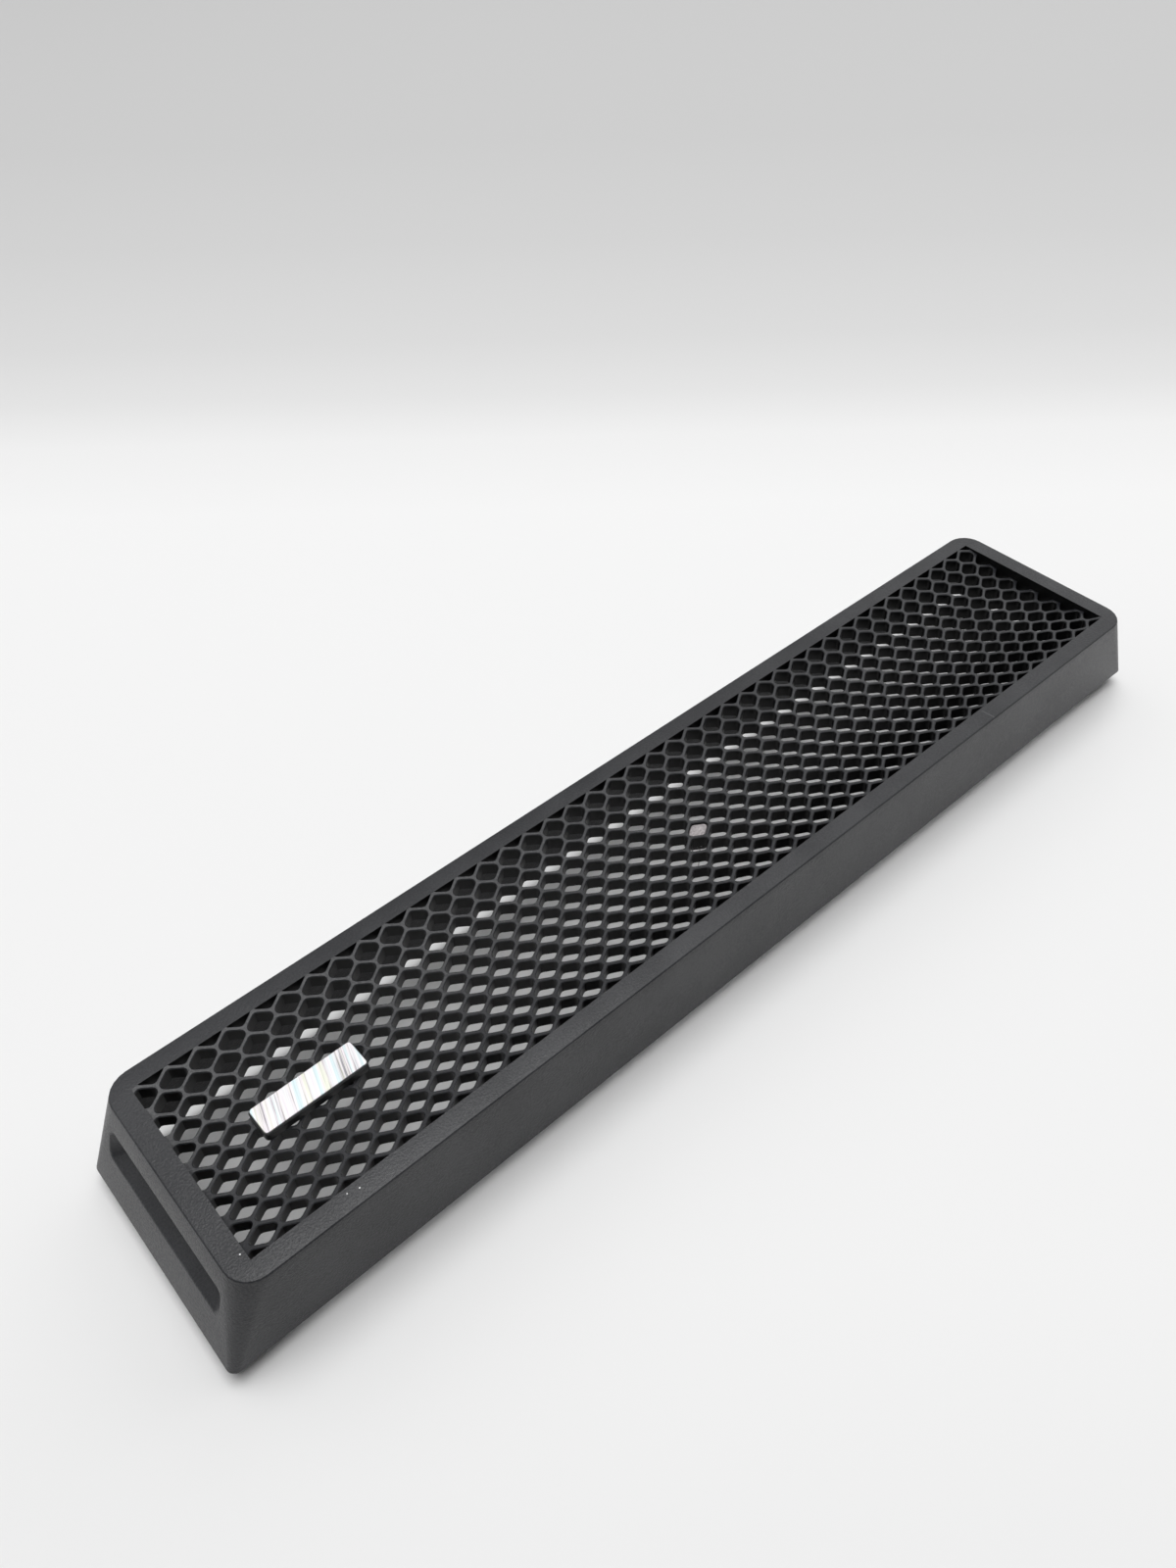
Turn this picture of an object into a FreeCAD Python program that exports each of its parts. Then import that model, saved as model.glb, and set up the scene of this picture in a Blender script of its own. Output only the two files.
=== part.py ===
import FreeCAD, Part
import math
import os

# Front bezel of a rack power supply two units high: one black moulding with a sunk honeycomb
# grille, a light pipe in one cell and a blank badge. X runs along the bezel, Y up the rack and
# Z out of the face. The tips of the snap hooks lie at Z = 0.

V = FreeCAD.Vector

# Outer form: the rim covers the chassis front, and each wall leans in by its flare up to the face.
rim_length = 446.0
rim_width = 86.0
rim_corner_radius = 3.0
end_flare = 12.0
side_flare = 1.5
face_corner_radius = 9.0
bezel_depth = 34.5
wall = 2.5
face_thickness = 3.0
cavity_corner_radius = 5.0

# Grille: a trough across the width, flush with the face along both long edges. The gaps are
# those between the points of cells in one row, and of cells two rows apart. The outermost rows
# are centred just outside the window, and the cells sit a little towards the right end.
border_end = 7.3
border_side = 6.9
grille_sag = 4.3
rib_depth = 5.0
grille_wall = 2.0
cell_pitch = 10.02
row_pitch = 5.45
cell_rows = 13
cell_shift = 0.6
cell_gap_along = 1.0
cell_gap_across = 3.4
least_cell_share = 0.15

# Finger scoop in each end wall, below the face. Its corners round off at most a share of its back.
scoop_width = 66.0
scoop_top = 10.0
scoop_mouth = 13.5
scoop_floor = 6.5
scoop_corner_radius = 2.5
scoop_radius_share = 0.4

# Snap hooks below the grille's end walls; they reach past the rim into slots in the chassis.
hook_reach = 7.0
hook_width = 10.0
hook_spacing = 44.0
hook_barb = 1.6
hook_land = 1.2
chassis_sheet = 1.5
hook_clearance = 0.3

# Light pipe in one cell: lens just below the fronts of the ribs, stop flange and stem.
lens_drop = 0.6
lens_clearance = 0.15
flange_lap = 1.2
flange_thickness = 1.5
stem_radius = 2.0
stem_end_to_rim = 6.0

# Blank badge: a metal plate on a plastic carrier that stands on the ribs.
badge_length = 36.5
badge_width = 11.0
badge_corner_radius = 1.5
badge_from_window_end = 40.3
badge_drop = 0.5
badge_margin = 0.4
plate_thickness = 0.6
peg_clearance = 0.15
peg_spacing = 25.0
peg_past_ribs = 1.0

# Gap between curved pieces that seat on each other, how far a cut runs past its stock, and how
# near two points count as one.
seat_gap = 0.05
overrun = 1.0
same_place = 1e-6

rim_z = hook_reach
face_z = rim_z + bezel_depth
face_length = rim_length - 2 * end_flare
face_width = rim_width - 2 * side_flare
window_length = face_length - 2 * border_end
half_window = face_width / 2 - border_side
row_places = [(row - cell_rows / 2) * row_pitch for row in range(cell_rows + 1)]
trough_radius = (half_window ** 2 + grille_sag ** 2) / (2 * grille_sag)
grille_low = face_z - grille_sag - rib_depth
half_cell_x = (cell_pitch - cell_gap_along) / 2
half_cell_y = row_pitch - cell_gap_across / 2
cell_inner_radius = half_cell_x * half_cell_y / math.hypot(half_cell_x, half_cell_y)
badge_x = badge_from_window_end - window_length / 2
badge_top = face_z - badge_drop


def flat_face(points):
    """Flat face inside a closed outline of points."""
    return Part.Face(Part.makePolygon(points + points[:1]))


def rounded_rectangle(length, width, radius, z):
    """Closed wire of a rectangle with round corners, centred on the Z axis."""
    bend = radius * (1 - math.sqrt(0.5))
    edges = []
    for turn in range(4):
        x, y = (length / 2, width / 2) if turn % 2 == 0 else (width / 2, length / 2)
        points = [
            V(x, y - radius, z),
            V(x - bend, y - bend, z),
            V(x - radius, y, z),
            V(radius - x, y, z),
        ]
        spin = FreeCAD.Rotation(V(0, 0, 1), 90 * turn)
        start, middle, end, following = [spin.multVec(point) for point in points]
        edges.append(Part.Arc(start, middle, end).toShape())
        edges.append(Part.LineSegment(end, following).toShape())
    return Part.Wire(edges)


def tapered_block(low, high, radius):
    """Solid between two outlines of four corners, with the four edges that join them rounded.

    Seen from the high outline, the corners of both run anticlockwise.
    """
    faces = [flat_face(low[::-1]), flat_face(high)]
    for this, following in ((0, 1), (1, 2), (2, 3), (3, 0)):
        faces.append(flat_face([low[this], low[following], high[following], high[this]]))
    block = Part.makeSolid(Part.makeShell(faces))
    middles = [(a + b) * 0.5 for a, b in zip(low, high)]
    joining = []
    for edge in block.Edges:
        if any(edge.CenterOfMass.isEqual(middle, same_place) for middle in middles):
            joining.append(edge)
    return block.makeFillet(radius, joining)


def outer_form():
    """The bezel's outside as a solid block; its corners grow rounder from the rim to the face."""
    rim = rounded_rectangle(rim_length, rim_width, rim_corner_radius, rim_z)
    face = rounded_rectangle(face_length, face_width, face_corner_radius, face_z)
    return Part.makeLoft([rim, face], True, True)


def cavity_outline(z):
    """Corners of the hollow behind the face at height z, one wall inside the outer form."""
    share = (z - rim_z) / bezel_depth
    x = rim_length / 2 - end_flare * share - wall
    y = rim_width / 2 - side_flare * share - wall
    return [V(x, y, z), V(-x, y, z), V(-x, -y, z), V(x, -y, z)]


def cavity():
    """The hollow behind the face, open at the rim."""
    low = cavity_outline(rim_z - overrun)
    high = cavity_outline(face_z - face_thickness)
    return tapered_block(low, high, cavity_corner_radius)


def trough_height(y):
    """Height of the ribs' fronts at a distance y from the middle line."""
    return face_z - grille_sag + trough_radius - math.sqrt(trough_radius ** 2 - y ** 2)


def trough_line(drop):
    """Section of the trough, one straight step from each row of cells to the next."""
    inside = [min(max(y, -half_window), half_window) for y in row_places]
    return [V(0, y, trough_height(y) - drop) for y in inside]


def along_x(points, length):
    """Solid of a section in the YZ plane, carried along X and centred on X = 0."""
    solid = flat_face(points).extrude(V(length, 0, 0))
    solid.translate(V(-length / 2, 0, 0))
    return solid


def grille_tray():
    """Stock of the grille: the curved slab of the ribs with the walls round the window."""
    side = half_window + grille_wall
    top = face_z - face_thickness / 2
    low = face_z - rib_depth
    corners = [V(0, side, low), V(0, side, top), V(0, -side, top), V(0, -side, low)]
    return along_x(trough_line(rib_depth) + corners, window_length + 2 * grille_wall)


def trough(rise):
    """The space in front of the ribs, between the window's four edges, lifted by rise."""
    top = face_z + overrun
    return along_x(trough_line(-rise) + [V(0, half_window, top), V(0, -half_window, top)], window_length)


def cell_centres():
    """Centres of the staggered cells; the window cuts more than half off the outermost rows."""
    columns = math.ceil(window_length / cell_pitch / 2) + 1
    centres = []
    for row, y in enumerate(row_places):
        shift = cell_shift + (cell_pitch / 4 if row % 2 else -cell_pitch / 4)
        centres += [(column * cell_pitch + shift, y) for column in range(-columns, columns + 1)]
    return centres


def nearest_cell(x, y):
    """Centre of the cell nearest to a point of the face."""
    return min(cell_centres(), key=lambda centre: math.hypot(centre[0] - x, centre[1] - y))


def cell_face(x, y, clearance, z):
    """One cell's outline as a flat face, its four sides moved inwards by the clearance."""
    share = 1 - clearance / cell_inner_radius
    across = V(half_cell_x * share, 0, 0)
    up = V(0, half_cell_y * share, 0)
    centre = V(x, y, z)
    return flat_face([centre + across, centre + up, centre - across, centre - up])


def cell_tools():
    """Prisms that open the cells, each kept inside the window; slivers at the ends stay closed."""
    low = grille_low - overrun
    window = Part.makePlane(window_length, 2 * half_window, V(-window_length / 2, -half_window, low))
    least_area = least_cell_share * 2 * half_cell_x * half_cell_y
    openings = []
    for x, y in cell_centres():
        face = cell_face(x, y, 0, low)
        whole = abs(x) + half_cell_x < window_length / 2 and abs(y) + half_cell_y < half_window
        pieces = [face] if whole else face.common(window).Faces
        openings += [piece for piece in pieces if piece.Area > least_area]
    return Part.makeCompound(openings).extrude(V(0, 0, face_z + overrun - low))


def scoop_form(grow):
    """A finger scoop at the right end: a flat roof and a floor that falls towards the mouth."""
    top = face_z - scoop_top + grow
    back = window_length / 2 + grille_wall + wall - grow
    mouth = rim_length / 2 + overrun
    half = scoop_width / 2 + grow
    outlines = []
    for x, height in ((back, scoop_floor), (mouth, scoop_mouth)):
        low = top - height - 2 * grow
        outlines.append([V(x, half, top), V(x, -half, top), V(x, -half, low), V(x, half, low)])
    return tapered_block(*outlines, min(scoop_corner_radius, scoop_radius_share * scoop_floor) + grow)


def hook(y):
    """A snap hook at the right end: a springy arm below the grille's end wall, with a barb outside."""
    inner = window_length / 2
    outer = inner + grille_wall
    catch = rim_z - chassis_sheet - hook_clearance
    root = face_z - rib_depth
    path = [
        V(inner, 0, root),
        V(inner, 0, 0),
        V(outer, 0, 0),
        V(outer + hook_barb, 0, catch - hook_land),
        V(outer + hook_barb, 0, catch),
        V(outer, 0, catch),
        V(outer, 0, root),
    ]
    arm = flat_face(path).extrude(V(0, hook_width, 0))
    arm.translate(V(0, y - hook_width / 2, 0))
    return arm


def both_ends(solid):
    """A solid at the right end and its copy turned half round to the left end."""
    left = solid.copy()
    left.rotate(V(0, 0, 0), V(0, 0, 1), 180)
    return [solid, left]


def bezel_moulding():
    """The one-piece moulding: shell, grille, scoops and hooks."""
    outside = outer_form()
    additions = [grille_tray()]
    additions += both_ends(scoop_form(wall).common(outside))
    additions += both_ends(hook(hook_spacing / 2)) + both_ends(hook(-hook_spacing / 2))
    body = outside.cut(cavity()).fuse(additions)
    body = body.cut(both_ends(scoop_form(0)) + [trough(0)])
    return body.removeSplitter().cut(cell_tools())


def light_pipe():
    """Lens that fills the cell nearest the middle, its stop flange behind the ribs and its stem."""
    x, y = nearest_cell(-cell_pitch / 4, -row_pitch / 2)
    flange_low = grille_low - seat_gap - flange_thickness
    lens_height = trough_height(y) - lens_drop - flange_low
    lens = cell_face(x, y, lens_clearance, flange_low).extrude(V(0, 0, lens_height))
    flange = cell_face(x, y, -flange_lap, flange_low).extrude(V(0, 0, flange_thickness))
    stem_low = rim_z + stem_end_to_rim
    stem = Part.makeCylinder(stem_radius, flange_low + flange_thickness / 2 - stem_low, V(x, y, stem_low))
    return lens.fuse([flange, stem]).removeSplitter()


def badge_outline(inset, z):
    """Flat face of the badge's outline, moved inwards by inset."""
    outline = rounded_rectangle(
        badge_length - 2 * inset, badge_width - 2 * inset, badge_corner_radius - inset, z
    )
    outline.translate(V(badge_x, 0, 0))
    return Part.Face(outline)


def badge_carrier():
    """Body of the badge, bedded on the ribs, with two pegs in cells of the grille."""
    low = face_z - grille_sag - overrun
    body = badge_outline(0, low).extrude(V(0, 0, badge_top - plate_thickness - low)).common(trough(seat_gap))
    peg_low = grille_low - peg_past_ribs
    pegs = []
    for side in (-1, 1):
        x, y = nearest_cell(badge_x + side * peg_spacing / 2, -side * row_pitch / 2)
        peg_height = (trough_height(y) + badge_top - plate_thickness) / 2 - peg_low
        pegs.append(Part.makeCylinder(cell_inner_radius - peg_clearance, peg_height, V(x, y, peg_low)))
    return body.fuse(pegs).removeSplitter()


def badge_plate():
    """Thin metal face on top of the carrier."""
    return badge_outline(badge_margin, badge_top - plate_thickness).extrude(V(0, 0, plate_thickness))


os.makedirs("parts", exist_ok=True)
bezel_moulding().exportStep("parts/bezel_moulding.step")
light_pipe().exportStep("parts/light_pipe.step")
badge_carrier().exportStep("parts/badge_carrier.step")
badge_plate().exportStep("parts/badge_plate.step")
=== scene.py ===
import math

import bmesh
import bpy
import numpy as np
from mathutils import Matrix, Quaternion, Vector


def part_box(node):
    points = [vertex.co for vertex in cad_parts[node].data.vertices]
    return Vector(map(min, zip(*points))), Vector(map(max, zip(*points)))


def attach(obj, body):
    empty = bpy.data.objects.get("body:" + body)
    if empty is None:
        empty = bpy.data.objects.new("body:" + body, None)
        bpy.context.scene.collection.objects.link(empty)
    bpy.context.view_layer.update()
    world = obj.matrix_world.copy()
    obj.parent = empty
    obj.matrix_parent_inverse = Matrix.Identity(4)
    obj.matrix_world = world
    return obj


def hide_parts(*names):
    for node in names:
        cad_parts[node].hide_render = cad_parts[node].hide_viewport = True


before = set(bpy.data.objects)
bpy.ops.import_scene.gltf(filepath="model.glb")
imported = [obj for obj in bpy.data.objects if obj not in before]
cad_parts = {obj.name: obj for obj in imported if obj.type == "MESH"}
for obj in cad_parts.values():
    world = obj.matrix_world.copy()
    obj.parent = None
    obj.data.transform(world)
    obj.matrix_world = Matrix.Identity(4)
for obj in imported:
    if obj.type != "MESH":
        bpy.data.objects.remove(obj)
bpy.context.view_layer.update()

# The bezel moulding: walls, face border, honeycomb grille, finger scoops and hooks in one piece.
# It is black plastic, injection moulded with a fine sparked texture on its outside.
# Four hooks behind its ends clip it to the chassis. Sizes are in millimetres.
mm = 0.001
rim_half_length, rim_half_width, face_z = np.array(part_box("bezel_moulding")[1]) / mm
rim_z = 7.0
rim_radius = 3.0
rim_edge = 0.15
end_flare = 12.0
side_flare = 1.5
face_radius = 9.0
face_edge = 0.65
wall = 2.5
face_thickness = 3.0
inner_radius = 5.0
bezel_depth = face_z - rim_z
face_half_length = rim_half_length - end_flare
face_half_width = rim_half_width - side_flare

border_end = 7.3
border_side = 6.9
grille_wall = 2.0
grille_sag = 4.3
rib_depth = 5.0
window_radius = 0.3
window_half_length = face_half_length - border_end
window_half_width = face_half_width - border_side
trough_radius = (window_half_width ** 2 + grille_sag ** 2) / (2 * grille_sag)

end_steps = 16
corner_steps = 6
wall_steps = 2 * corner_steps + 1
edge_steps = 5


def rounded_loop_factors():
    """Rows of x and y shares of the corner centres, and cosine and sine of the outline's normal.

    The loop starts on the side that faces +X, runs along it in even steps, round two corners,
    and then repeats with all signs turned.
    """
    along = np.linspace(-1, 1, end_steps + 1)
    flat, level = np.ones_like(along), np.zeros_like(along)
    first = np.linspace(0, math.pi / 2, corner_steps + 1)[1:]
    second = first - first[0] + math.pi / 2
    edge = np.array([flat, along, flat, level])
    corners = [np.array([0 * a + x, 0 * a + 1, np.cos(a), np.sin(a)])
               for x, a in ((1, first), (-1, second))]
    half = np.concatenate([edge, *corners], axis=1)
    return np.concatenate([half, -half], axis=1)


loop_x, loop_y, loop_cos, loop_sin = rounded_loop_factors()
loop_half = loop_x.size // 2


def rounded_loop(half_length, half_width, radius, z):
    """Rounded rectangle: corner centre plus radius times the normal; z is one height or one per point."""
    x = loop_x * (half_length - radius) + loop_cos * radius
    y = loop_y * (half_width - radius) + loop_sin * radius
    return np.stack([x, y, x * 0 + z], axis=-1)


def trough_height(y):
    """Front of the grille's ribs: a circle's arc across the width, flush with the face at both edges."""
    inside = np.clip(y, -window_half_width, window_half_width)
    return face_z - grille_sag + trough_radius - np.sqrt(trough_radius ** 2 - inside ** 2)


def grid_sheet(points, keep=None):
    """Quads between neighbouring rows of closed loops: points has the shape (..., rows, columns, 3)."""
    index = np.arange(points[..., 0].size).reshape(points.shape[:-1])
    beside = np.roll(index, -1, axis=-1)
    corners = [index[..., :-1, :], beside[..., :-1, :], beside[..., 1:, :], index[..., 1:, :]]
    quads = np.stack(corners, axis=-1)
    quads = quads.reshape(-1, 4) if keep is None else quads[keep]
    return points.reshape(-1, 3), quads


def closing_point(loop):
    """A loop drawn together at its middle, which closes a sheet."""
    return np.broadcast_to(loop.mean(axis=-2, keepdims=True), loop.shape)


def between(first, last, steps):
    """Rows from one loop to another in even steps, both ends included."""
    share = np.linspace(0, 1, steps + 1)[:, None, None]
    return first + (last - first) * share


def turned_round(sheet):
    """The same sheet at the other end, turned half round the upright axis."""
    return sheet[0] * [-1, -1, 1], sheet[1]


def middle_line(loop):
    """The line along a long loop's middle, on which its sheet closes; it stops short of both ends."""
    reach = np.abs(loop[:, 0]).max() - np.abs(loop[:, 1]).max()
    return np.stack([np.clip(loop[:, 0], -reach, reach), loop[:, 1] * 0, loop[:, 2]], axis=-1)


weld_distance = 0.002


def make_piece(name, sheets, material, sharp_angle=32):
    """One mesh from several sheets, welded where they meet and smooth where faces turn little."""
    starts = np.cumsum([0] + [len(points) for points, _ in sheets[:-1]])
    points = np.concatenate([points for points, _ in sheets]) * mm
    quads = np.concatenate([quads + start for (_, quads), start in zip(sheets, starts)])
    mesh = bpy.data.meshes.new(name)
    mesh.from_pydata(points.tolist(), [], quads.tolist())
    shape = bmesh.new()
    shape.from_mesh(mesh)
    bmesh.ops.remove_doubles(shape, verts=shape.verts, dist=weld_distance * mm)
    bmesh.ops.dissolve_degenerate(shape, edges=shape.edges, dist=weld_distance * mm)
    shape.to_mesh(mesh)
    shape.free()
    mesh.polygons.foreach_set("use_smooth", [True] * len(mesh.polygons))
    mesh.set_sharp_from_angle(angle=math.radians(sharp_angle))
    mesh.materials.append(material)
    piece = bpy.data.objects.new(name, mesh)
    bpy.context.scene.collection.objects.link(piece)
    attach(piece, "root")
    return piece


def face_edge_loops():
    """Rounding between the leaning walls and the face, as loops from the wall up to the face.

    At a wall that leans by an angle, the arc's centre lies one radius below the face and one radius
    behind the wall; the normal then rises from the lean to straight up.
    """
    loops = []
    for share in np.linspace(0, 1, edge_steps + 1):
        offsets, heights = [], []
        for flare in (end_flare, side_flare):
            lean = math.atan2(flare, bezel_depth)
            rise = lean + (math.pi / 2 - lean) * share
            offsets.append(face_edge * (math.cos(rise) - (1 - math.sin(lean)) / math.cos(lean)))
            heights.append(face_z - face_edge * (1 - math.sin(rise)))
        z = heights[0] * loop_cos ** 2 + heights[1] * loop_sin ** 2
        radius = face_radius + sum(offsets) / 2
        loops.append(rounded_loop(face_half_length + offsets[0], face_half_width + offsets[1], radius, z))
    return np.array(loops)


def shell_sheets():
    """Walls, border, window edge and inside as loops round the bezel, from the rim and back to it."""
    grille_back = trough_height(loop_y * window_half_width) - rib_depth
    roof_z = face_z - face_thickness
    roof_share = (roof_z - rim_z) / bezel_depth
    skirt = window_half_length + grille_wall, window_half_width + grille_wall, window_radius
    roof_half_length = rim_half_length - end_flare * roof_share - wall
    roof_half_width = rim_half_width - side_flare * roof_share - wall
    inner_rim = rounded_loop(rim_half_length - wall, rim_half_width - wall, inner_radius, rim_z)
    rim = rounded_loop(rim_half_length - rim_edge, rim_half_width - rim_edge, rim_radius, rim_z)
    wall_foot = rounded_loop(rim_half_length, rim_half_width, rim_radius, rim_z + rim_edge)
    edge = face_edge_loops()
    window = window_half_length, window_half_width, window_radius
    roof = rounded_loop(roof_half_length, roof_half_width, inner_radius, roof_z)
    outer_wall = between(wall_foot, edge[0], wall_steps)
    inner_wall = between(roof, inner_rim, wall_steps)
    front = [rounded_loop(*window, face_z), rounded_loop(*window, grille_back)]
    back = [rounded_loop(*skirt, grille_back), rounded_loop(*skirt, roof_z)]
    plain = [[inner_rim, rim, wall_foot], [*edge, *front, *back, roof]]
    sheets = [grid_sheet(np.array(loops)) for loops in plain]
    at_end = (np.arange(loop_x.size) % loop_half) < end_steps
    keep = np.broadcast_to(~at_end, (wall_steps, loop_x.size))
    sheets += [grid_sheet(rows, keep) for rows in (outer_wall, inner_wall)]
    return sheets, outer_wall[:, :end_steps + 1], inner_wall[:, :end_steps + 1]


def grid_border(grid):
    """The outline of a grid of points as one closed loop."""
    return np.concatenate([grid[0], grid[1:-1, -1], grid[-1, ::-1], grid[-2:0:-1, 0]])


scoop_half_width = 33.0
scoop_below_face = 8.8
scoop_top = face_z - scoop_below_face
scoop_back = window_half_length + grille_wall + wall
scoop_floor = 6.5
scoop_mouth = 13.5
scoop_overrun = 1.0
scoop_reach = rim_half_length + scoop_overrun - scoop_back
scoop_radius = 2.5
scoop_end_slope = 7.0
soft_low_edge = 0.8
soft_top_edge = 0.3
soft_steps = 6


def scoop_sheet(wall_grid, grow, low_edge, side):
    """End wall with a finger scoop: a flat roof, a floor that falls towards the mouth, sloping ends.

    A point of the scoop has a height share q from floor to roof; the mouth is where that line meets
    the leaning wall, and its edge is a parabola from the wall into the scoop, wider at the floor.
    """
    top = scoop_top + grow
    back = scoop_back - grow
    back_low = top - scoop_floor - 2 * grow
    fall = (scoop_mouth - scoop_floor) / (scoop_reach + grow)
    lean = end_flare / bezel_depth
    wall_x = rim_half_length - grow
    radius_share = scoop_radius / scoop_floor
    y = loop_y * (scoop_half_width + grow - scoop_radius) + loop_sin * scoop_radius
    q = 0.5 + side * (loop_x * (0.5 - radius_share) + loop_cos * radius_share)
    low_share = (1 - q) * fall
    back_z = back_low + q * (top - back_low)
    mouth_z = (back_z - low_share * (wall_x + lean * rim_z - back)) / (1 - low_share * lean)
    mouth_x = wall_x - lean * (mouth_z - rim_z)
    mouth = np.stack([mouth_x, y, mouth_z], axis=-1)
    end_y = y * (1 - scoop_end_slope / scoop_half_width)
    end = np.stack([y * 0 + back, end_y, back_z], axis=-1)
    soft = soft_top_edge + (low_edge - soft_top_edge) * (1 - q[:, None]) ** 2
    up = np.array([-lean, 0, 1]) / math.hypot(lean, 1)
    outwards = loop_sin[:, None] * np.array([0, 1, 0]) + side * loop_cos[:, None] * up
    inwards = (end - mouth) / np.linalg.norm(end - mouth, axis=-1, keepdims=True)
    share = np.linspace(0, 1, soft_steps + 1)[:, None, None]
    edge = mouth + soft * ((1 - share) ** 2 * outwards + share ** 2 * inwards)
    middle = end * [1, 1, 0] + [0, 0, (top + back_low) / 2]
    return grid_sheet(np.array([grid_border(wall_grid), *edge, end, middle]))


hook_places = (-22.0, 22.0)
hook_half_width = 5.0
hook_barb = 1.6
hook_catch = 5.2
hook_land = 1.2
hook_tip_edge = 0.3
hook_root = 34.9


def hook_sheet(place):
    """A hook as rectangles at falling heights: the arm, the catch under the chassis sheet, the tip."""
    inner, outer = window_half_length, window_half_length + grille_wall
    tip = outer + hook_barb
    land = hook_catch - hook_land
    levels = [(hook_root, outer), (hook_catch, outer), (hook_catch, tip), (land, tip)]
    levels += [(hook_tip_edge, outer), (0, outer - hook_tip_edge)]
    loops = []
    for z, reach in levels:
        loop = rounded_loop((reach - inner) / 2, hook_half_width, hook_tip_edge, z)
        loops.append(loop[::-1] + [(inner + reach) / 2, place, 0])
    return grid_sheet(np.array([closing_point(loops[0]), *loops, closing_point(loops[-1])]))


cell_pitch = 10.02
row_pitch = 5.45
cell_rows = 13
cell_columns_each_way = 22
cell_shift = 0.6
cell_apex = 4.32
rib_half_width = 0.7
rib_edge = 0.3
cell_radius = 1.4
cell_joint = 0.6
least_cell_share = 0.15
rib_bite = 0.5
rib_bite_sink = 0.1
cell_bite = 0.03
same_place = 1e-6
cell_side = row_pitch - cell_apex
cell_half = cell_pitch / 2
cell_corners = np.array([
    (cell_half, -cell_side), (cell_half, cell_side), (0, cell_apex),
    (-cell_half, cell_side), (-cell_half, -cell_side), (0, -cell_apex),
])


def unit(vectors):
    """Vectors of length one."""
    return vectors / np.linalg.norm(vectors, axis=-1, keepdims=True)


def cell_ring(inset, radius):
    """The cell's hexagon moved inwards by inset, with each corner an arc of three points.

    At a corner that turns by an angle, the inset point lies inset over cos(half) along the
    bisector, and the arc starts radius times tan(half) before it. Without a radius the three
    points are the corner and its places on both ribs, which neighbouring cells share.
    """
    before = unit(np.roll(cell_corners, 1, axis=0) - cell_corners)
    after = unit(np.roll(cell_corners, -1, axis=0) - cell_corners)
    half_turn = np.arccos(-(before * after).sum(axis=-1, keepdims=True)) / 2
    bisector = unit(before + after)
    corner = cell_corners + bisector * inset / np.cos(half_turn)
    reach = radius * np.tan(half_turn) if radius else cell_joint
    middle = corner + bisector * radius * (1 / np.cos(half_turn) - 1)
    return np.stack([corner + before * reach, middle, corner + after * reach], axis=1).reshape(-1, 2)


def cell_centres():
    """Centres of the cells, every second row half a pitch along; the end rows lie past the window."""
    column = np.arange(-cell_columns_each_way, cell_columns_each_way + 1)
    row = np.arange(cell_rows + 1)
    shift = cell_shift + np.where(row % 2, cell_pitch / 4, -cell_pitch / 4)
    x = column[None, :] * cell_pitch + shift[:, None]
    y = np.broadcast_to((row[:, None] - cell_rows / 2) * row_pitch, x.shape)
    centres = np.stack([x, y], axis=-1).reshape(-1, 2)
    return centres[np.abs(centres[:, 0]) < window_half_length + cell_half]


def cut_at_window(rings, bite):
    """Rings cut a bite behind the window's four edges: points outside slide along their side to the cut."""
    cut = rings.copy()
    for axis, edge in ((1, window_half_width + bite), (0, window_half_length + bite)):
        for end in (-1, 1):
            across, along = cut[..., axis] * end, cut[..., 1 - axis]
            outside = across > edge
            hits = []
            for step in (1, -1):
                near_across, near_along = np.roll(across, step, axis=-1), np.roll(along, step, axis=-1)
                crossing = outside & (near_across <= edge)
                share = (edge - near_across) / np.where(crossing, across - near_across, 1)
                hits.append(np.where(crossing, near_along + (along - near_along) * share, np.nan))
            both = np.concatenate(hits, axis=-1)
            crossed = ~np.isnan(both).all(axis=-1, keepdims=True)
            known = np.where(crossed, both, 0)
            lowest = np.where(crossed, np.nanmin(known, axis=-1, keepdims=True), -np.inf)
            highest = np.where(crossed, np.nanmax(known, axis=-1, keepdims=True), np.inf)
            slid = np.clip(along, lowest, highest)
            for hit in hits:
                slid = np.where(np.isnan(hit), slid, hit)
            cut[..., 1 - axis] = np.where(outside, slid, along)
            cut[..., axis] = np.where(outside, edge, across) * end
    return cut


def ring_area(rings):
    """Area inside each ring, from the cross products of neighbouring points."""
    following = np.roll(rings, -1, axis=-2)
    cross = rings[..., 0] * following[..., 1] - rings[..., 1] * following[..., 0]
    return cross.sum(axis=-1) / 2


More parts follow.
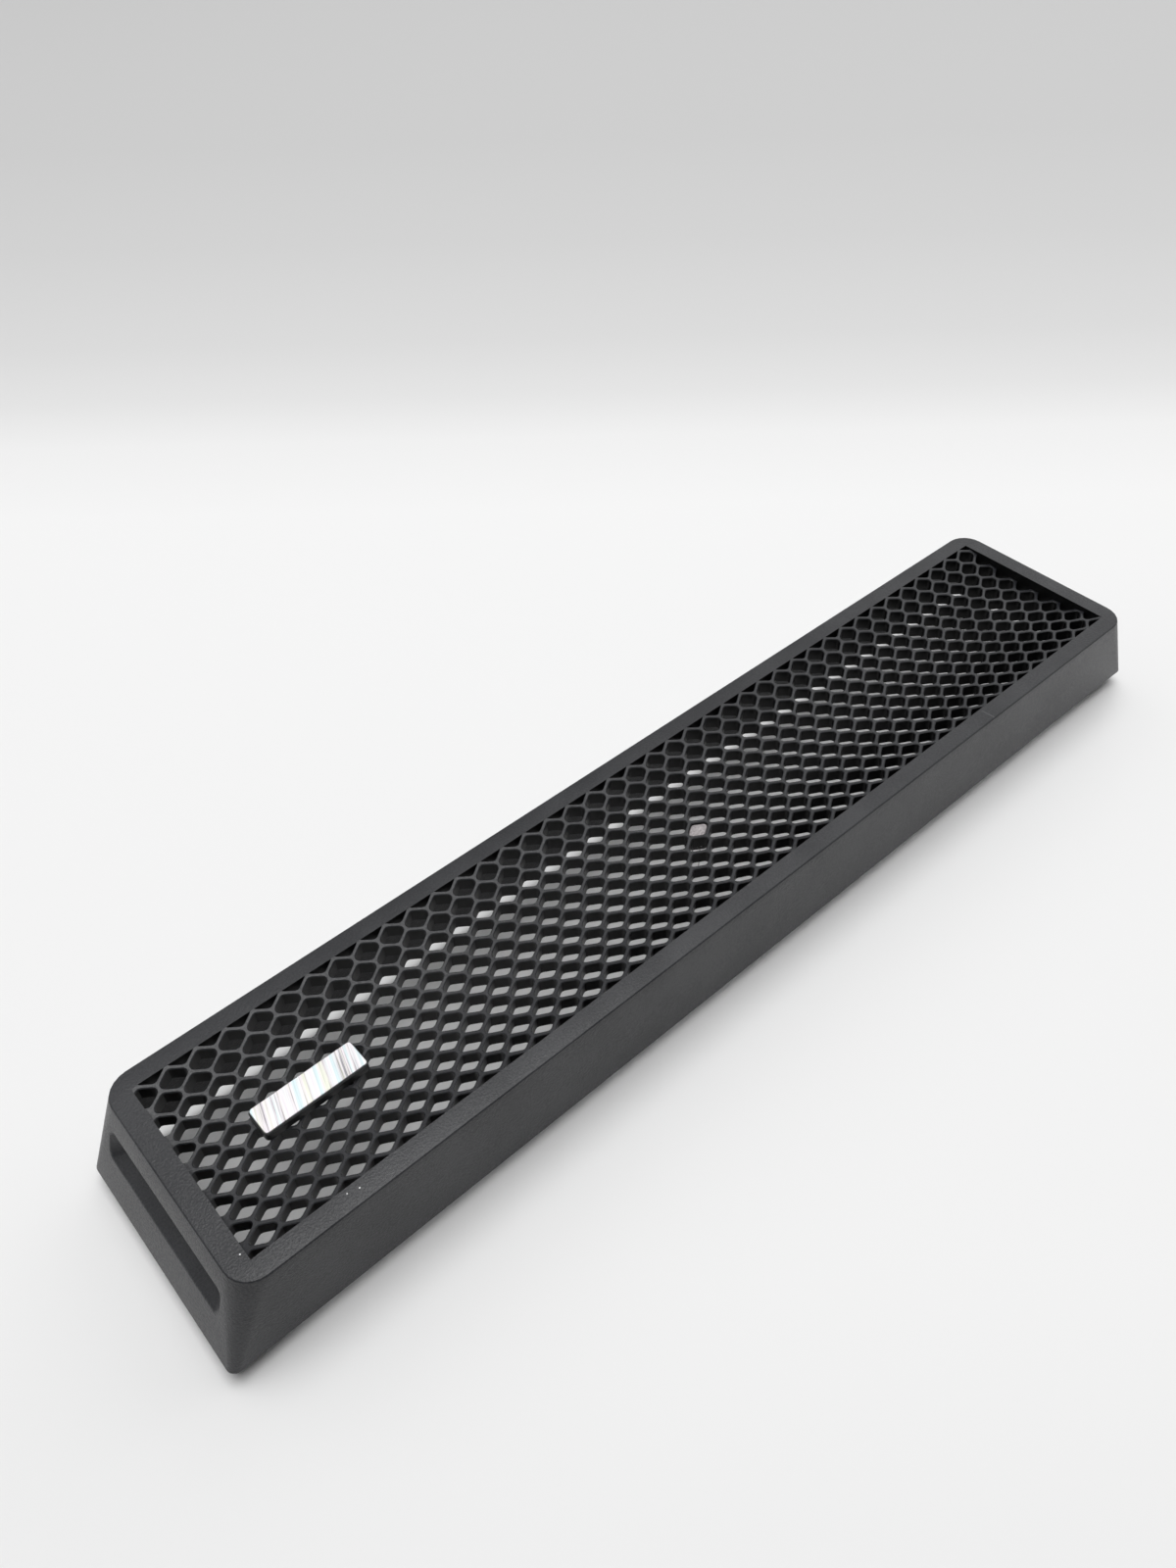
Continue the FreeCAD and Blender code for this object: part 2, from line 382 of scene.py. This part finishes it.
def grille_sheet():
    """All cells at once: rib fronts on the trough, a small edge, walls straight back, rib backs.

    The ribs run a little way into the window's walls, where an upright end closes them.
    """
    centres = cell_centres()[:, None, :]
    rib_middle = cut_at_window(centres + cell_ring(0, 0), rib_bite)
    lip = cut_at_window(centres + cell_ring(rib_half_width - rib_edge, cell_radius + rib_edge), cell_bite)
    opening = cut_at_window(centres + cell_ring(rib_half_width, cell_radius), cell_bite)
    full_area = ring_area(cell_ring(rib_half_width, cell_radius))
    closed = ring_area(opening) < least_cell_share * full_area
    shut = np.broadcast_to(rib_middle.mean(axis=1, keepdims=True), rib_middle.shape)
    lip, opening = (np.where(closed[:, None, None], shut, ring) for ring in (lip, opening))
    window = np.array([window_half_length, window_half_width])
    on_cut = np.abs(rib_middle) > window + rib_bite - same_place
    along_cut = (on_cut & np.roll(on_cut, -1, axis=1)).any(axis=-1)
    at_end = on_cut.any(axis=-1)
    plan = np.stack([rib_middle, lip, opening, opening, rib_middle, rib_middle], axis=1)
    drops = np.array([0, 0, rib_edge, rib_depth, rib_depth, 0])[:, None]
    sinks = np.array([1, 0, 0, 0, -1, 1])[:, None] * rib_bite_sink
    z = trough_height(plan[..., 1]) - drops - sinks * at_end[:, None, :]
    points = np.concatenate([plan, z[..., None]], axis=-1)
    keep = np.ones((len(plan), len(drops) - 1, plan.shape[2]), bool)
    keep[closed, 1:3] = False
    keep[:, -1] = along_cut
    keep[at_end.all(axis=1)] = False
    return grid_sheet(points, keep)


def add_node(tree, kind, settings=None, **inputs):
    """A shader node with its settings; inputs are given by name as values or as sockets to link."""
    made = tree.nodes.new(kind)
    for key, value in (settings or {}).items():
        setattr(made, key, value)
    for key, value in inputs.items():
        numbered = key[0] == "_"
        socket = made.inputs[int(key[1:]) if numbered else key.replace("_", " ")]
        if isinstance(value, bpy.types.NodeSocket):
            tree.links.new(value, socket)
        else:
            socket.default_value = value
    return made


def new_material(name):
    """An empty material; returns it and its node tree."""
    material = bpy.data.materials.new(name)
    material.use_nodes = True
    material.node_tree.nodes.clear()
    return material, material.node_tree


def finish_material(tree, shader):
    """Joins a shader to the material's output."""
    output = add_node(tree, "ShaderNodeOutputMaterial")
    tree.links.new(shader.outputs[0], output.inputs["Surface"])


def moulded_grain_group():
    """Sparked mould texture: fine pits of one grain size, and slow cloudy change of tone over the part."""
    group = bpy.data.node_groups.new("moulded_grain", "ShaderNodeTree")
    sockets = group.interface
    sockets.new_socket("Vector", in_out="INPUT", socket_type="NodeSocketVector")
    sockets.new_socket("Grain", in_out="INPUT", socket_type="NodeSocketFloat")
    for name in ("Height", "Tone"):
        sockets.new_socket(name, in_out="OUTPUT", socket_type="NodeSocketFloat")
    inside = group.nodes.new("NodeGroupInput")
    outside = group.nodes.new("NodeGroupOutput")
    pits = add_node(group, "ShaderNodeTexNoise", Vector=inside.outputs["Vector"],
                    Scale=inside.outputs["Grain"], Detail=3.0, Roughness=0.6)
    cloud = add_node(group, "ShaderNodeTexNoise", Vector=inside.outputs["Vector"], Scale=45.0, Detail=2.0)
    mixed = add_node(group, "ShaderNodeMath", {"operation": "MULTIPLY_ADD"}, _0=cloud.outputs["Fac"], _1=0.5)
    half_pits = add_node(group, "ShaderNodeMath", {"operation": "MULTIPLY"}, _0=pits.outputs["Fac"], _1=0.5)
    group.links.new(half_pits.outputs[0], mixed.inputs[2])
    group.links.new(pits.outputs["Fac"], outside.inputs["Height"])
    group.links.new(mixed.outputs[0], outside.inputs["Tone"])
    return group


moulded_grain = moulded_grain_group()


def tone_ramp(tree, factor, stops):
    """Colour ramp through the given (place, colour) stops."""
    ramp = add_node(tree, "ShaderNodeValToRGB", Fac=factor)
    ramp.color_ramp.elements[0].position, ramp.color_ramp.elements[0].color = stops[0]
    ramp.color_ramp.elements[1].position, ramp.color_ramp.elements[1].color = stops[-1]
    for place, colour in stops[1:-1]:
        ramp.color_ramp.elements.new(place).color = colour
    return ramp.outputs["Color"]


plastic_grain = 1500.0
# Painted shade: the cell walls and rib backs get this deeper black, which stands in for the shade inside the
# cells.
cell_wall_shade_tone = (0.006, 0.006, 0.0064, 1)
forward_rise = 0.5
scuff_tone = (0.034, 0.035, 0.038, 1)
scuff_place = np.array([119.8, -38.3])
scuff_half_length = 2.7
scuff_half_width = 0.35
scuff_lean = math.radians(6.6)
dust_tone = (0.8, 0.8, 0.8, 1)
dust_specks = ((-205.1, -31.4, 0.24), (-173.8, -36.3, 0.2), (-170.2, -37.2, 0.24))


def textured_black():
    """Black plastic with a fine sparked texture, its sparkle partly painted into the colour, one faint scuff
    and a few specks of white dust.
    """
    material, tree = new_material("textured_black")
    place = add_node(tree, "ShaderNodeTexCoord").outputs["Object"]
    grain = add_node(tree, "ShaderNodeGroup", {"node_tree": moulded_grain}, Vector=place, Grain=plastic_grain)
    # The grain's tone is partly random tone and partly painted glint: the steep ramp makes the pits light and
    # dark in the colour, in place of the texture's sparkle.
    black = tone_ramp(tree, grain.outputs["Tone"], [
        (0.40, (0.0030, 0.0036, 0.0060, 1)), (0.60, (0.0190, 0.0198, 0.0230, 1)),
    ])
    at = add_node(tree, "ShaderNodeSeparateXYZ", Vector=place)
    across = np.array([math.cos(scuff_lean), math.sin(scuff_lean)])
    offset = add_node(tree, "ShaderNodeVectorMath", {"operation": "DOT_PRODUCT"},
                      _0=place, _1=(*across, 0)).outputs["Value"]
    on_line = add_node(tree, "ShaderNodeMath", {"operation": "COMPARE"},
                       _0=offset, _1=float(across @ scuff_place) * mm, _2=scuff_half_width * mm)
    on_length = add_node(tree, "ShaderNodeMath", {"operation": "COMPARE"},
                         _0=at.outputs["Y"], _1=scuff_place[1] * mm, _2=scuff_half_length * mm)
    scuff = add_node(tree, "ShaderNodeMath", {"operation": "MULTIPLY"},
                     _0=on_line.outputs[0], _1=on_length.outputs[0])
    black = add_node(tree, "ShaderNodeMix", {"data_type": "RGBA"},
                     _0=scuff.outputs[0], _6=black, _7=scuff_tone).outputs[2]
    for x, y, radius in dust_specks:
        centre = (x * mm, y * mm, face_z * mm)
        away = add_node(tree, "ShaderNodeVectorMath", {"operation": "DISTANCE"}, _0=place, _1=centre)
        near = away.outputs["Value"]
        speck = add_node(tree, "ShaderNodeMath", {"operation": "LESS_THAN"}, _0=near, _1=radius * mm)
        mix = add_node(tree, "ShaderNodeMix", {"data_type": "RGBA"},
                       _0=speck.outputs[0], _6=black, _7=dust_tone)
        black = mix.outputs[2]
    rough = add_node(tree, "ShaderNodeMapRange", Value=grain.outputs["Height"],
                     From_Min=0.3, From_Max=0.7, To_Min=0.44, To_Max=0.28)
    bump = add_node(tree, "ShaderNodeBump", Strength=1.0, Distance=0.15 * mm,
                    Height=grain.outputs["Height"])
    shader = add_node(tree, "ShaderNodeBsdfPrincipled", Base_Color=black, Roughness=rough.outputs["Result"],
                      IOR=1.5, Specular_IOR_Level=0.42, Normal=bump.outputs["Normal"])
    finish_material(tree, shader)
    return material


def cell_wall_painted_shade():
    """The walls and backs of the ribs, plain from the mould, with painted shade: a deeper black and a weaker
    reflection than the outside stand in for the shade inside the cells.
    """
    material, tree = new_material("cell_wall_painted_shade")
    shader = add_node(tree, "ShaderNodeBsdfPrincipled", Base_Color=cell_wall_shade_tone, Roughness=0.36,
                      IOR=1.5, Specular_IOR_Level=0.25)
    finish_material(tree, shader)
    return material


def give_faces(piece, material, chosen):
    """A second material on the faces that a test of their middles, in millimetres, and normals chooses."""
    faces = piece.data.polygons
    middles = np.empty((len(faces), 3), np.float32)
    normals = np.empty((len(faces), 3), np.float32)
    faces.foreach_get("center", middles.ravel())
    faces.foreach_get("normal", normals.ravel())
    piece.data.materials.append(material)
    faces.foreach_set("material_index", chosen(middles / mm, normals).astype(np.int32))


def painted_shade_faces(middles, normals):
    """Faces inside the window that don't look forwards, which get the painted shade of the cells."""
    window = np.array([window_half_length, window_half_width]) + cell_bite
    return (np.abs(middles[:, :2]) < window).all(axis=1) & (normals[:, 2] < forward_rise)


shell, end_wall, inner_end_wall = shell_sheets()
ends = [
    scoop_sheet(end_wall, 0, soft_low_edge, -1),
    scoop_sheet(inner_end_wall, wall, soft_top_edge, 1),
]
ends += [hook_sheet(place) for place in hook_places]
ends += [turned_round(sheet) for sheet in ends]
bezel = make_piece("bezel", [*shell, *ends, grille_sheet()], textured_black())
# The faces inside the cells take the painted-shade material, darker and less glossy in place of the shade
# there.
give_faces(bezel, cell_wall_painted_shade(), painted_shade_faces)
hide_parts("bezel_moulding")

# The light pipe: a frosted clear lens that fills one cell near the middle of the grille.
# It is moulded in one piece with its stop flange behind the ribs and a stem to the chassis lamp.
pipe_low, pipe_high = (np.array(corner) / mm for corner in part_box("light_pipe"))
pipe_centre = np.append((pipe_low + pipe_high)[:2] / 2, 0)
lens_clearance = 0.14
lens_edge = 0.3
lens_crown = 0.12
lens_grain = 900.0
crown_place, crown_fall = 0.6, 0.3
flange_lap = 1.2
flange_thickness = 1.5
flange_seat = 0.05
flange_low = face_z - grille_sag - rib_depth - flange_seat - flange_thickness
frosted_margin = 0.02
frosted_low = flange_low + flange_thickness + frosted_margin
stem_radius = 2.0
clear_tone = (0.97, 0.96, 0.96, 1)


def lens_sheet():
    """Lens, flange and stem as rings of the cell's own outline, from the crown down to the stem's end."""
    body = cell_ring(rib_half_width + lens_clearance, cell_radius)
    shoulder = cell_ring(rib_half_width + lens_clearance + lens_edge, cell_radius - lens_edge)
    flange = cell_ring(rib_half_width - flange_lap, cell_radius)
    stem = unit(cell_ring(0, 0)) * stem_radius
    top = pipe_high[2]
    flange_top = flange_low + flange_thickness
    levels = [(shoulder * 0, top), (shoulder * crown_place, top - lens_crown * crown_fall)]
    levels += [(shoulder, top - lens_crown), (body, top - lens_crown - lens_edge), (body, flange_top)]
    levels += [(flange, flange_top), (flange, flange_low)]
    levels += [(stem, flange_low), (stem, pipe_low[2]), (stem * 0, pipe_low[2])]
    rings = [np.concatenate([ring, ring[:, :1] * 0 + z], axis=1) for ring, z in levels]
    return grid_sheet(np.array(rings)[::-1] + pipe_centre)


def frosted_lens():
    """Translucent plastic: a frosted, mottled lens with a faint pink cast."""
    material, tree = new_material("frosted_lens")
    place = add_node(tree, "ShaderNodeTexCoord").outputs["Object"]
    grain = add_node(tree, "ShaderNodeGroup", {"node_tree": moulded_grain}, Vector=place, Grain=lens_grain)
    pale = tone_ramp(tree, grain.outputs["Tone"], [
        (0.40, (0.22, 0.20, 0.205, 1)), (0.60, (0.52, 0.485, 0.49, 1)),
    ])
    bump = add_node(tree, "ShaderNodeBump", Strength=0.3, Distance=0.1 * mm, Height=grain.outputs["Height"])
    shader = add_node(tree, "ShaderNodeBsdfPrincipled", Base_Color=pale, Roughness=0.38, IOR=1.49,
                      Normal=bump.outputs["Normal"])
    finish_material(tree, shader)
    return material


def clear_plastic():
    """The same plastic where it is polished: flange and stem, clear as glass."""
    material, tree = new_material("clear_plastic")
    shader = add_node(tree, "ShaderNodeBsdfPrincipled", Base_Color=clear_tone, Roughness=0.04, IOR=1.49,
                      Transmission_Weight=1.0)
    finish_material(tree, shader)
    return material


def behind_ribs(middles, normals):
    """Faces of the flange and the stem."""
    return middles[:, 2] < frosted_low


lens = make_piece("light_pipe_lens", [lens_sheet()], frosted_lens())
give_faces(lens, clear_plastic(), behind_ribs)
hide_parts("light_pipe")

# The badge carrier: a black plastic block bedded on the ribs, satin, with a small round on its top edge.
# It is held by two round pegs pressed into cells of the grille.
carrier_low, carrier_high = (np.array(corner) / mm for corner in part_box("badge_carrier"))
carrier_centre = (carrier_low + carrier_high) / 2 * [1, 1, 0]
carrier_half = (carrier_high - carrier_low)[:2] / 2
carrier_radius = 1.5
carrier_edge = 0.25
carrier_seat = 0.05
peg_spacing = 25.0
peg_radius = 2.73
peg_edge = 0.3
peg_bite = 0.3


def carrier_sheet():
    """The block as loops: its underside follows the trough, its sides are upright, its top edge is broken."""
    top = carrier_high[2]
    flat = rounded_loop(*carrier_half, carrier_radius, top - carrier_edge)
    foot = flat.copy()
    foot[:, 2] = trough_height(foot[:, 1]) + carrier_seat
    crown = rounded_loop(*(carrier_half - carrier_edge), carrier_radius - carrier_edge, top)
    spine = middle_line(foot) * [1, 1, 0] + [0, 0, trough_height(0) + carrier_seat]
    return grid_sheet(np.array([spine, foot, flat, crown, middle_line(crown)]) + carrier_centre)


def peg_sheet(side):
    """A round peg in the cell nearest to its place under the badge, with a rounded tip."""
    y = -side * row_pitch / 2
    shift = cell_shift - side * cell_pitch / 4
    x = round((carrier_centre[0] + side * peg_spacing / 2 - shift) / cell_pitch) * cell_pitch + shift
    circle = unit(cell_ring(0, 0))
    tip = carrier_low[2]
    levels = [(0, tip), (peg_radius - peg_edge, tip), (peg_radius, tip + peg_edge)]
    root = trough_height(y) + carrier_seat + peg_bite
    levels += [(peg_radius, root), (0, root)]
    rings = [np.concatenate([circle * radius, circle[:, :1] * 0 + z], axis=1) for radius, z in levels]
    return grid_sheet(np.array(rings) + [x, y, 0])


def satin_black():
    """Smooth black plastic with a satin surface."""
    material, tree = new_material("satin_black")
    place = add_node(tree, "ShaderNodeTexCoord").outputs["Object"]
    grain = add_node(tree, "ShaderNodeGroup", {"node_tree": moulded_grain}, Vector=place, Grain=plastic_grain)
    black = tone_ramp(tree, grain.outputs["Tone"], [
        (0.3, (0.010, 0.010, 0.011, 1)), (0.7, (0.018, 0.018, 0.019, 1)),
    ])
    bump = add_node(tree, "ShaderNodeBump", Strength=0.1, Distance=0.02 * mm, Height=grain.outputs["Height"])
    shader = add_node(tree, "ShaderNodeBsdfPrincipled", Base_Color=black, Roughness=0.3, IOR=1.5,
                      Normal=bump.outputs["Normal"])
    finish_material(tree, shader)
    return material


carrier = make_piece("badge_carrier_block", [carrier_sheet(), peg_sheet(-1), peg_sheet(1)],
                     satin_black())
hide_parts("badge_carrier")

# The badge plate: a thin blank aluminium face glued on the carrier.
# Its top is brushed across in fine straight lines, and its cut edge is bright.
plate_low, plate_high = (np.array(corner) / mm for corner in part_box("badge_plate"))
plate_centre = (plate_low + plate_high) / 2 * [1, 1, 0]
plate_half = (plate_high - plate_low)[:2] / 2
plate_radius = 1.1
plate_edge = 0.15


def plate_sheet():
    """The plate as loops: underside, upright edge, a fine chamfer and the flat face."""
    low, top = plate_low[2], plate_high[2]
    foot = rounded_loop(*plate_half, plate_radius, low)
    side = rounded_loop(*plate_half, plate_radius, top - plate_edge)
    crown = rounded_loop(*(plate_half - plate_edge), plate_radius - plate_edge, top)
    return grid_sheet(np.array([middle_line(foot), foot, side, crown, middle_line(crown)]) + plate_centre)


brush_lean = math.radians(17)
brush_run = 60.0


def brushed_metal():
    """Aluminium brushed across the badge: long fine streaks in tone, roughness and height, and a painted
    rainbow tint in place of the colours that light breaks into on the brushing.
    """
    material, tree = new_material("brushed_metal")
    place = add_node(tree, "ShaderNodeTexCoord").outputs["Object"]
    stretched = add_node(tree, "ShaderNodeMapping", {"vector_type": "TEXTURE"}, Vector=place,
                         Rotation=(0, 0, -brush_lean), Scale=(1.0, brush_run, 1.0)).outputs["Vector"]
    streaks = add_node(tree, "ShaderNodeTexNoise", Vector=stretched, Scale=1600.0, Detail=4.0, Roughness=0.7)
    bands = add_node(tree, "ShaderNodeTexNoise", Vector=stretched, Scale=700.0, Detail=1.0)
    tone = tone_ramp(tree, streaks.outputs["Fac"], [
        (0.32, (0.20, 0.20, 0.21, 1)), (0.45, (0.52, 0.52, 0.53, 1)), (0.7, (0.64, 0.64, 0.64, 1)),
    ])
    # Painted reflection: the cyan, pink and yellow bands stand in for the rainbow colours of light on the
    # brushed lines.
    tint = tone_ramp(tree, bands.outputs["Fac"], [
        (0.35, (0.80, 0.94, 0.96, 1)), (0.45, (1.0, 1.0, 1.0, 1)), (0.55, (1.0, 0.93, 0.97, 1)),
        (0.65, (0.96, 0.97, 0.84, 1)),
    ])
    tinted = add_node(tree, "ShaderNodeMix", {"data_type": "RGBA", "blend_type": "MULTIPLY"},
                      _0=1.0, _6=tone, _7=tint)
    dull = add_node(tree, "ShaderNodeMapRange", Value=streaks.outputs["Fac"], To_Min=0.36, To_Max=0.5)
    bump = add_node(tree, "ShaderNodeBump", Strength=0.25, Distance=0.02 * mm, Height=streaks.outputs["Fac"])
    shader = add_node(tree, "ShaderNodeBsdfPrincipled", Base_Color=tinted.outputs[2], Metallic=1.0,
                      Roughness=dull.outputs["Result"], Normal=bump.outputs["Normal"])
    finish_material(tree, shader)
    return material


plate = make_piece("badge_face", [plate_sheet()], brushed_metal())
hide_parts("badge_plate")

# The stage: white paper with painted shade, greyer towards the back and a little greyer at the front, and
# four soft lamps, the brightest overhead.
# The sky is a pale backdrop, seen directly, in gloss and through clear plastic.
# The camera looks down along the bezel from its badge end, as the photograph does.
floor_half = 4.0
view_heading = (0.6485, 0.7612, 0)
paper_near, paper_far = -0.25, 1.25
# Painted shade: the paper's tone falls towards the back and slightly at the front, in place of the lamps'
# light falling off.
paper_falloff_shade = (
    (-0.22, 0.845), (-0.15, 0.867), (0.26, 0.875), (0.33, 0.83),
    (0.38, 0.735), (0.45, 0.665), (0.60, 0.605), (0.80, 0.572),
)
floor_corners = np.array([(-1, -1, 0), (1, -1, 0), (1, 1, 0), (-1, 1, 0)]) * floor_half
floor_mesh = bpy.data.meshes.new("paper_floor")
floor_mesh.from_pydata(floor_corners.tolist(), [], [(0, 1, 2, 3)])
floor = bpy.data.objects.new("paper_floor", floor_mesh)
bpy.context.scene.collection.objects.link(floor)
paper, paper_tree = new_material("pale_paper")
floor_place = add_node(paper_tree, "ShaderNodeTexCoord").outputs["Object"]
behind = add_node(paper_tree, "ShaderNodeVectorMath", {"operation": "DOT_PRODUCT"},
                  _0=floor_place, _1=view_heading)
paper_share = add_node(paper_tree, "ShaderNodeMapRange", Value=behind.outputs["Value"],
                       From_Min=paper_near, From_Max=paper_far)
paper_painted_shade = tone_ramp(paper_tree, paper_share.outputs["Result"], [
    ((place - paper_near) / (paper_far - paper_near), (tone, tone, tone, 1)) for place, tone in paper_falloff_shade
])
paper_shader = add_node(paper_tree, "ShaderNodeBsdfPrincipled", Base_Color=paper_painted_shade, Roughness=0.8)
finish_material(paper_tree, paper_shader)
floor_mesh.materials.append(paper)

lamps = (
    ("overhead_lamp", (0.0, 0.0, 4.0), 3.6, 138.0),
    ("back_lamp", (0.4, 2.2, 3.3), 4.8, 25.0),
    ("far_end_lamp", (3.2, 0.4, 2.4), 5.0, 51.0),
    ("left_back_lamp", (-2.2, 2.4, 2.3), 5.0, 23.0),
)
for lamp_name, lamp_place, lamp_size, lamp_power in lamps:
    lamp = bpy.data.lights.new(lamp_name, "AREA")
    lamp.shape = "DISK"
    lamp.size = lamp_size
    lamp.energy = lamp_power
    lamp_object = bpy.data.objects.new(lamp_name, lamp)
    lamp_object.location = lamp_place
    lamp_object.rotation_mode = "QUATERNION"
    lamp_object.rotation_quaternion = (-lamp_object.location).to_track_quat("-Z", "Y")
    lamp_object.visible_camera = False
    bpy.context.scene.collection.objects.link(lamp_object)

sky_light = 0.01
sky_backdrop = 0.45
sky = bpy.data.worlds.new("pale_sky")
sky.use_nodes = True
sky_tree = sky.node_tree
rays = add_node(sky_tree, "ShaderNodeLightPath").outputs
seen = rays["Is Camera Ray"]
for kind in ("Is Glossy Ray", "Is Transmission Ray"):
    seen = add_node(sky_tree, "ShaderNodeMath", {"operation": "MAXIMUM"}, _0=seen, _1=rays[kind]).outputs[0]
glow = add_node(sky_tree, "ShaderNodeMapRange", Value=seen, To_Min=sky_light, To_Max=sky_backdrop)
sky_tree.nodes["Background"].inputs["Color"].default_value = (1, 1, 1, 1)
sky_tree.links.new(glow.outputs["Result"], sky_tree.nodes["Background"].inputs["Strength"])
bpy.context.scene.world = sky

camera_place = Vector((-222.4, -201.1, 367.8)) * mm
camera_target = Vector((-19.1, 37.4, 41.5)) * mm
camera_roll = math.radians(-1.33)
camera = bpy.data.cameras.new("camera")
camera.sensor_width = 36.0
camera.lens = 28.28
camera_object = bpy.data.objects.new("camera", camera)
camera_object.location = camera_place
camera_object.rotation_mode = "QUATERNION"
aim = (camera_target - camera_place).to_track_quat("-Z", "Y")
camera_object.rotation_quaternion = aim @ Quaternion((0, 0, 1), camera_roll)
bpy.context.scene.collection.objects.link(camera_object)
bpy.context.scene.camera = camera_object
bpy.context.scene.view_settings.view_transform = "Standard"
